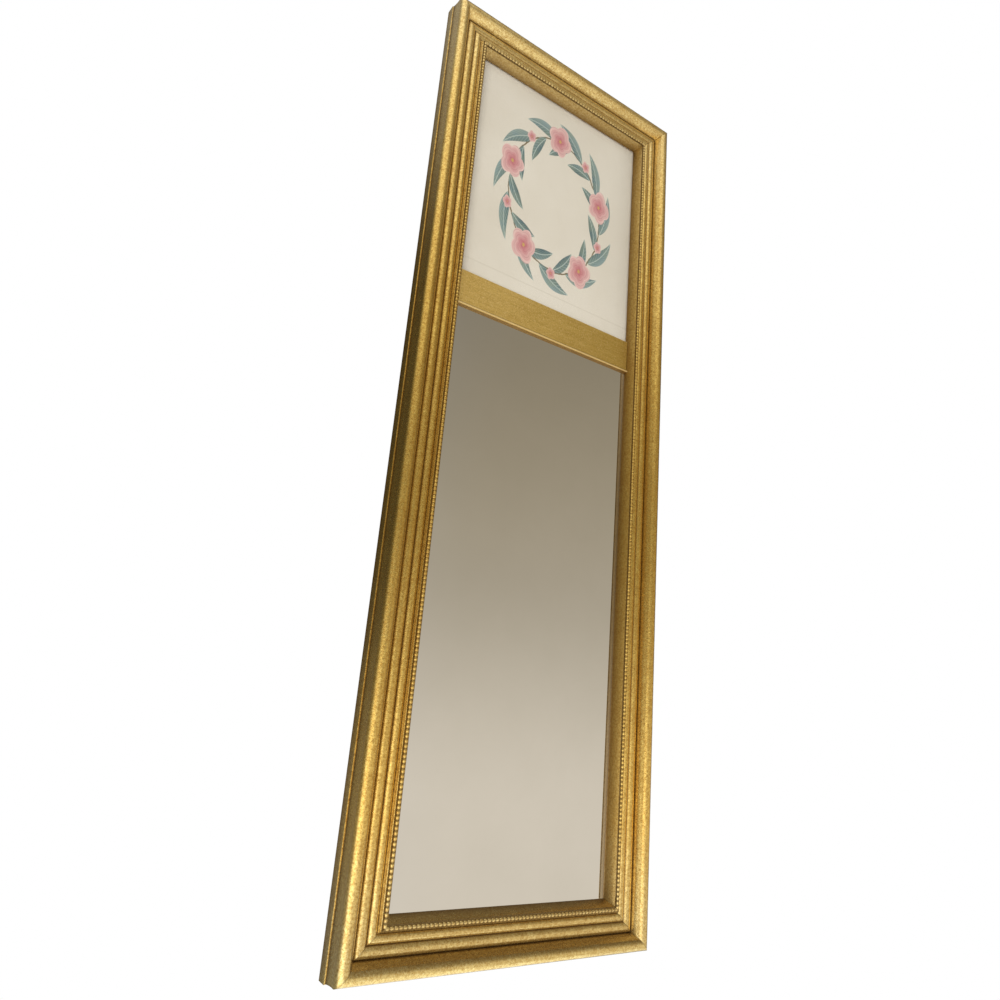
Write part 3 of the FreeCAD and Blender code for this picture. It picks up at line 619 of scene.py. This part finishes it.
def span(finish, across, along):
    """The length that two parts at right angles make."""
    squares = [math_of(finish, "MULTIPLY", part, part) for part in (across, along)]
    return math_of(finish, "SQRT", math_of(finish, "ADD", *squares))


place = object_place(print_paper)
spot = axes_of(print_paper, place)
wobble = grains(print_paper, place, 90, 3.0)
over = printed("DIVIDE", spot["X"], WREATH_REACH[0])
up = printed("DIVIDE", printed("SUBTRACT", spot["Z"], WREATH_HEIGHT), WREATH_REACH[1])
round_angle = printed("DIVIDE", printed("ARCTAN2", up, over), math.tau)
out_by = printed("MULTIPLY", printed("SUBTRACT", span(print_paper, over, up), 1.0), WREATH_SCALE)


def share_round(count, shift):
    """Where a point lies between one repeat and the next round the wreath, from 0 to 1."""
    return printed("FRACT", printed("MULTIPLY_ADD", round_angle, count, shift))


def leaf(count, shift, lean, width, start):
    """A ring of leaves that lean out from the stem: their shape, their veins, and how far off the midrib."""
    along = share_round(count, shift)
    off = printed("SUBTRACT", out_by, printed("MULTIPLY_ADD", along, lean, start))
    aside = printed("ABSOLUTE", off)
    bulge = printed("SINE", printed("MULTIPLY", printed("POWER", along, 0.8), math.pi))
    inside = ramp(print_paper, printed("SUBTRACT", printed("MULTIPLY", bulge, width), aside), -0.3, 0.3)
    midrib = ramp(print_paper, aside, 0.7, 0.25)
    slant = printed("SUBTRACT", printed("MULTIPLY", along, 9.0), printed("MULTIPLY", aside, 0.32))
    vein = ramp(print_paper, apart(print_paper, printed("FRACT", slant), 0.5), 0.12, 0.03, 0.0, 0.6)
    return inside, printed("MAXIMUM", midrib, vein), off


def blossom(count, shift, size, away):
    """A ring of round blossoms: their shape, how far out from their hearts, petal edges and whorl."""
    pitch = math.tau / count * WREATH_SCALE
    along = printed("MULTIPLY", printed("SUBTRACT", share_round(count, shift), 0.5), pitch)
    out = printed("SUBTRACT", out_by, away)
    reach = span(print_paper, along, out)
    turn = printed("ARCTAN2", out, along)
    lobes = printed("ABSOLUTE", printed("SINE", printed("MULTIPLY", turn, 2.5)))
    rim = printed("MULTIPLY_ADD", lobes, size * 0.22, size * 0.8)
    inside = ramp(print_paper, printed("SUBTRACT", rim, reach), -0.3, 0.3)
    depth = printed("DIVIDE", reach, rim)
    whorl = printed("FRACT", printed("MULTIPLY_ADD", turn, 1.5 / math.pi, printed("MULTIPLY", depth, 3.2)))
    fold = ramp(print_paper, apart(print_paper, whorl, 0.5), 0.1, 0.0)
    return inside, depth, fold, whorl


paper_grain = grains(print_paper, place, 420, 5.0, 0.6)
stains = grains(print_paper, place, 9, 4.0, 0.55)
ink = mixed(print_paper, ramp(print_paper, stains, 0.35, 0.7), tone(230, 223, 211), tone(221, 213, 199))
ink = mixed(print_paper, ramp(print_paper, paper_grain, 0.5, 0.8, 0.0, 0.25), ink, tone(204, 194, 174))
# Painted shade along a faint fold across the paper.
fold_shade = ramp(print_paper, apart(print_paper, spot["Z"], FOLD_HEIGHT), 0.0012, 0.0, 0.0, 0.3)
ink = mixed(print_paper, fold_shade, ink, tone(190, 180, 162))
off_stem = printed("ABSOLUTE", printed("MULTIPLY_ADD", wobble, 5.0, printed("SUBTRACT", out_by, 2.5)))
ink = mixed(print_paper, ramp(print_paper, off_stem, 1.1, 0.6), ink, tone(126, 112, 84))
for count, shift, lean, width, start, pale, dark in (
        (11, 0.2, 21.0, 7.6, 1.0, (142, 162, 162), (88, 116, 122)),
        (11, 0.7, -18.0, 6.6, -1.0, (124, 146, 146), (72, 100, 108))):
    inside, veins, off = leaf(count, shift, lean, width, start)
    green = mixed(print_paper, ramp(print_paper, off, -width, width), tone(*dark), tone(*pale))
    green = mixed(print_paper, ramp(print_paper, wobble, 0.4, 0.65, 0.0, 0.35), green, tone(150, 158, 128))
    green = mixed(print_paper, veins, green, tone(186, 198, 190))
    ink = mixed(print_paper, inside, ink, green)
for count, shift, size, away in ((5, 0.25, 18.0, 1.0), (5, 0.75, 6.5, 3.0)):
    inside, depth, fold, whorl = blossom(count, shift, size, away)
    pink = mixed(print_paper, ramp(print_paper, depth, 0.1, 0.95), tone(196, 112, 122), tone(232, 200, 194))
    pink = mixed(print_paper, ramp(print_paper, whorl, 0.5, 1.0, 0.0, 0.5), pink, tone(206, 140, 144))
    pink = mixed(print_paper, printed("MULTIPLY", fold, 0.55), pink, tone(168, 92, 104))
    pink = mixed(print_paper, ramp(print_paper, depth, 0.16, 0.06), pink, tone(206, 172, 104))
    ink = mixed(print_paper, inside, ink, pink)
join(print_paper, surface, Base_Color=ink, Roughness=ramp(print_paper, paper_grain, 0.3, 0.7, 0.72, 0.86),
     Normal=relief(print_paper, paper_grain, 0.15, 0.0002))
surface.inputs["Specular IOR Level"].default_value = 0.25
piece = cut_sheet("printed_sheet", print_low, print_high, PAPER_EDGE, PAPER_WAVES, print_paper)
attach(piece, "frame")
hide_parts("picture_print")

hardboard, surface = new_finish("hardboard")
place = object_place(hardboard)
spot = axes_of(hardboard, place)
fibres = grains(hardboard, place, 1500, 4.0, 0.7)
blotches = grains(hardboard, place, 22, 4.0, 0.6)
screen = math_of(hardboard, "MULTIPLY", *(
    math_of(hardboard, "SINE", math_of(hardboard, "MULTIPLY", spot[axis], SCREEN_TURN)) for axis in "XZ"))
board_colour = mixed(hardboard, ramp(hardboard, fibres, 0.35, 0.65), tone(112, 78, 48), tone(158, 118, 78))
board_colour = mixed(hardboard, ramp(hardboard, blotches, 0.4, 0.7, 0.0, 0.4), board_colour, tone(94, 66, 42))
board_height = math_of(hardboard, "ADD", math_of(hardboard, "MULTIPLY", screen, 0.5), fibres)
join(hardboard, surface, Base_Color=board_colour, Roughness=ramp(hardboard, fibres, 0.3, 0.7, 0.7, 0.85),
     Normal=relief(hardboard, board_height, 0.5, 0.0004))
dress("picture_backing_board", hardboard)

# Looking glass: a plain silvered plate with ground edges in the rebate below the rail, with a
# hardboard of the same kind behind it.

SILVER = (0.8, 0.8, 0.79, 1)
HAZY_SILVER = (0.77, 0.77, 0.755, 1)

silvered_glass, surface = new_finish("silvered_glass")
place = object_place(silvered_glass)
haze = grains(silvered_glass, place, 11, 4.0, 0.6)
specks = grains(silvered_glass, place, 300, 2.0, 0.6)
join(silvered_glass, surface,
     Base_Color=mixed(silvered_glass, ramp(silvered_glass, haze, 0.35, 0.7), SILVER, HAZY_SILVER),
     Roughness=ramp(silvered_glass, specks, 0.55, 0.8, 0.012, 0.05))
surface.inputs["Metallic"].default_value = 1.0
dress("mirror_plate", silvered_glass)
dress("mirror_backing_board", hardboard)


# Steel points and corner nails: flat diamond-cut points driven into the rebate walls over the boards,
# and plain wire nails through the mitres, their heads punched just under the surface.

def dress_steel(node, name, bright, dark, rust, scale, roughness):
    """Plain steel with drawn lines, dull spots and a little rust."""
    finish, surface = new_finish(name)
    lines = grains(finish, object_place(finish, (1, 1, 0.2)), scale, 4.0, 0.6)
    spots = grains(finish, object_place(finish), scale * 0.35, 4.0, 0.65)
    colour = mixed(finish, ramp(finish, lines, 0.35, 0.65), tone(*dark), tone(*bright))
    colour = mixed(finish, ramp(finish, spots, 0.58, 0.75, 0.0, 0.6), colour, tone(*rust))
    join(finish, surface, Base_Color=colour,
         Roughness=ramp(finish, spots, 0.35, 0.75, roughness, roughness + 0.25),
         Normal=relief(finish, lines, 0.2, 0.0001))
    surface.inputs["Metallic"].default_value = 0.9
    dress(node, finish)


dress_steel("framing_points", "point_steel", (202, 202, 200), (160, 160, 160), (120, 92, 66), 1600, 0.34)
dress_steel("corner_nails", "nail_steel", (168, 166, 162), (128, 126, 122), (104, 76, 52), 2400, 0.4)

# Strap hangers: folded straps of yellow zinc plated steel on the backs of the stiles, each with a
# D-shaped wire ring hinged in its rolled loop and two slotted round-head screws.

for node in ("left_hanger_strap", "right_hanger_strap"):
    dress_steel(node, node + "_zinc", (226, 208, 158), (190, 170, 116), (150, 126, 84), 1300, 0.3)
for node in ("left_hanger_ring", "right_hanger_ring"):
    dress_steel(node, node + "_zinc", (230, 214, 168), (196, 176, 124), (156, 132, 90), 2000, 0.26)
dress_steel("hanger_screws", "screw_zinc", (222, 216, 200), (180, 172, 150), (140, 122, 92), 2200, 0.3)

# Wall bumpers: two small pads of soft dark rubber, moulded and stuck to the lower corners of the back,
# which keep the foot of the frame off the wall.

rubber, surface = new_finish("bumper_rubber")
place = object_place(rubber)
dust = grains(rubber, place, 400, 4.0, 0.6)
pits = grains(rubber, place, 2600, 3.0, 0.6)
rubber_colour = mixed(rubber, ramp(rubber, dust, 0.45, 0.75), tone(58, 54, 50), tone(92, 86, 78))
join(rubber, surface, Base_Color=rubber_colour, Roughness=ramp(rubber, dust, 0.3, 0.7, 0.6, 0.8),
     Normal=relief(rubber, pits, 0.3, 0.0002))
dress("wall_bumpers", rubber)

# Backdrop and floor: a white backdrop with soft, faintly warm light, and a pale matt floor far below
# the object. The floor fades into the backdrop towards its edge, and looks white in metal and glass.

WHITE = (1, 1, 1, 1)
SOFT_LIGHT = (0.58, 0.565, 0.54, 1)
FLOOR_GLOW = (1.2, 1.17, 1.12, 1)
FLOOR_HEIGHT = -1.5
FLOOR_HALF = 1.6
FLOOR_FADE = (0.7, 1.55)
FLOOR_OPENING = (0.9, 1.55)

world = bpy.data.worlds.new("studio")
bpy.context.scene.world = world
world.use_nodes = True
ray = add(world, "ShaderNodeLightPath", {}).outputs
shown = math_of(world, "MAXIMUM", ray["Is Camera Ray"],
                math_of(world, "MAXIMUM", ray["Is Glossy Ray"], ray["Is Transmission Ray"]))
backdrop = add(world, "ShaderNodeBackground", {"Color": WHITE, "Strength": 1.0})
soft_light = add(world, "ShaderNodeBackground", {"Color": SOFT_LIGHT, "Strength": 1.0})
world_mix = add(world, "ShaderNodeMixShader", {0: shown, 1: soft_light.outputs[0], 2: backdrop.outputs[0]})
world.node_tree.links.new(world_mix.outputs[0], world.node_tree.nodes["World Output"].inputs["Surface"])


def stand(name, bm, finish, shader):
    """Make a mesh an object of the studio, with a shader for its surface."""
    output = finish.node_tree.nodes["Material Output"]
    finish.node_tree.links.new(shader.outputs[0], output.inputs["Surface"])
    made = make_piece(bm, name, [finish])
    return made


floor_finish, surface = new_finish("floor")
place = object_place(floor_finish)
spot = axes_of(floor_finish, place)
floor_colour = mixed(floor_finish, grains(floor_finish, place, 3), tone(232, 230, 226), tone(240, 238, 235))
join(floor_finish, surface, Base_Color=floor_colour)
surface.inputs["Roughness"].default_value = 0.8
ray = add(floor_finish, "ShaderNodeLightPath", {}).outputs
from_centre = span(floor_finish, spot["X"], spot["Y"])
floor_fades = math_of(floor_finish, "MULTIPLY", ray["Is Camera Ray"],
                      ramp(floor_finish, from_centre, *FLOOR_FADE))
floor_shown = math_of(floor_finish, "MAXIMUM", ray["Is Glossy Ray"], ray["Is Transmission Ray"])
floor_shown = math_of(floor_finish, "MAXIMUM", floor_shown, floor_fades)
floor_white = add(floor_finish, "ShaderNodeEmission", {
    "Color": mixed(floor_finish, ray["Is Camera Ray"], FLOOR_GLOW, WHITE), "Strength": 1.0})
floor_mix = add(floor_finish, "ShaderNodeMixShader", {
    0: floor_shown, 1: surface.outputs[0], 2: floor_white.outputs[0]})
floor_open = math_of(floor_finish, "MULTIPLY", ray["Is Glossy Ray"],
                     ramp(floor_finish, from_centre, *FLOOR_OPENING))
no_floor = add(floor_finish, "ShaderNodeBsdfTransparent", {})
floor_mix = add(floor_finish, "ShaderNodeMixShader", {
    0: floor_open, 1: floor_mix.outputs[0], 2: no_floor.outputs[0]})
bm = bmesh.new()
bmesh.ops.create_grid(bm, x_segments=12, y_segments=12, size=FLOOR_HALF,
                      matrix=Matrix.Translation((0, 0, FLOOR_HEIGHT)))
stand("floor", bm, floor_finish, floor_mix)

# Room: a plain room for metal and glass to show, one large ball that nothing else sees. It is bright in
# front at the left and below, warmer and dimmer at the right, and dark behind the object.

ROOM_RADIUS = 3.2
BRIGHT_BEARING = -0.82
BRIGHT_REACH = 0.65
ROOM_COLOUR = (1, 0.97, 0.91, 1)
ROOM_HIGH_RIGHT = (1, 0.85, 0.6, 1)
ROOM_LOW_RIGHT = (1, 0.9, 0.75, 1)

room_finish, surface = new_finish("room")
room_place = add(room_finish, "ShaderNodeTexCoord", {}).outputs["Object"]
way = axes_of(room_finish, add(room_finish, "ShaderNodeVectorMath", {0: room_place},
                               operation="NORMALIZE").outputs[0])


def lit(operation, *values):
    """The result of a sum on the room's outputs and numbers."""
    return math_of(room_finish, operation, *values)


def eased(value, low, high, start=0.0, stop=1.0):
    """A share moved from one range to another along a soft curve."""
    return add(room_finish, "ShaderNodeMapRange", {"Value": value, "From Min": low, "From Max": high,
                                                   "To Min": start, "To Max": stop},
               interpolation_type="SMOOTHSTEP").outputs["Result"]


def between(share, first, second):
    """A level between two levels."""
    return add(room_finish, "ShaderNodeMix", {0: share, 2: first, 3: second}).outputs[0]


bearing = lit("ARCTAN2", way["X"], lit("MULTIPLY", way["Y"], -1.0))
low_share = eased(way["Z"], 0.16, -0.24)
high_share = eased(way["Z"], 0.25, 0.68)
bright = bell(room_finish, lit("DIVIDE", lit("SUBTRACT", bearing, BRIGHT_BEARING), BRIGHT_REACH))
left_part = lit("MULTIPLY_ADD", low_share, lit("MULTIPLY_ADD", bright, 1.2, 0.15),
                lit("MULTIPLY_ADD", high_share, 0.7, 0.24))
left_part = lit("MULTIPLY", left_part, eased(bearing, -1.75, -1.08))
right_part = lit("ADD", eased(way["Z"], 0.6, 0.05, 0.27, 0.46), eased(way["Z"], 0.6, 0.8, 0.0, 0.1))
right_part = lit("MULTIPLY", right_part, eased(bearing, 2.3, 0.7))
level = between(eased(bearing, 0.1, 0.45), left_part, right_part)
behind = eased(way["Y"], 0.1, 0.4)
round_low = lit("MULTIPLY", low_share, eased(behind, 0.0, 1.0, 0.3, 0.19))
round_high = between(behind, high_share, eased(way["Z"], 0.6, 0.76))
round_high = lit("MULTIPLY", round_high, eased(way["X"], 0.2, -0.3, 0.0, 0.35))
level = lit("ADD", level, lit("ADD", lit("ADD", round_low, 0.02), round_high))
right_colour = mixed(room_finish, eased(way["Z"], 0.45, -0.25), ROOM_HIGH_RIGHT, ROOM_LOW_RIGHT)
room_colour = mixed(room_finish, eased(way["X"], 0.0, 0.5), ROOM_COLOUR, right_colour)
glow = add(room_finish, "ShaderNodeEmission", {"Color": room_colour, "Strength": level})
room_finish.node_tree.nodes.remove(surface)
bm = bmesh.new()
bmesh.ops.create_icosphere(bm, subdivisions=5, radius=ROOM_RADIUS)
bmesh.ops.reverse_faces(bm, faces=bm.faces[:])
room = stand("room", bm, room_finish, glow)
room.visible_camera = False
room.visible_diffuse = False
room.visible_shadow = False
room.visible_transmission = False

# Lamps and camera: a soft lamp low at the left, a weak one low at the right, and a camera close to the
# object, low at its left and tilted up, a little aslant.

EYE_PLACE = (-0.39497, -0.56438, -0.26226)
EYE_RIGHT = Vector((0.8308, -0.5502, 0.0839))
EYE_UP = Vector((-0.2221, -0.1894, 0.9564))
EYE_AHEAD = Vector((0.5104, 0.8132, 0.2796))


def soft_lamp(name, place, size, power, colour):
    """A square lamp aimed at the middle of the object."""
    lamp = bpy.data.lights.new(name, "AREA")
    lamp.size = size
    lamp.energy = power
    lamp.color = colour
    holder = bpy.data.objects.new(name, lamp)
    holder.location = place
    holder.rotation_euler = (-Vector(place)).to_track_quat("-Z", "Y").to_euler()
    holder.visible_camera = False
    holder.visible_glossy = False
    bpy.context.scene.collection.objects.link(holder)


soft_lamp("low_left_lamp", (-1.5, -2.0, -1.0), 1.2, 40, (1, 0.97, 0.92))
soft_lamp("low_right_lamp", (2.0, -1.0, -1.0), 1.0, 12, (1, 0.96, 0.9))

camera = bpy.data.cameras.new("camera")
camera.lens = 26.44
camera.sensor_width = 36
eye = bpy.data.objects.new("camera", camera)
eye_turn = Matrix((EYE_RIGHT, EYE_UP, -EYE_AHEAD)).transposed()
eye.matrix_world = Matrix.Translation(EYE_PLACE) @ eye_turn.to_4x4()
bpy.context.scene.collection.objects.link(eye)
bpy.context.scene.camera = eye
bpy.context.scene.view_settings.view_transform = "Standard"
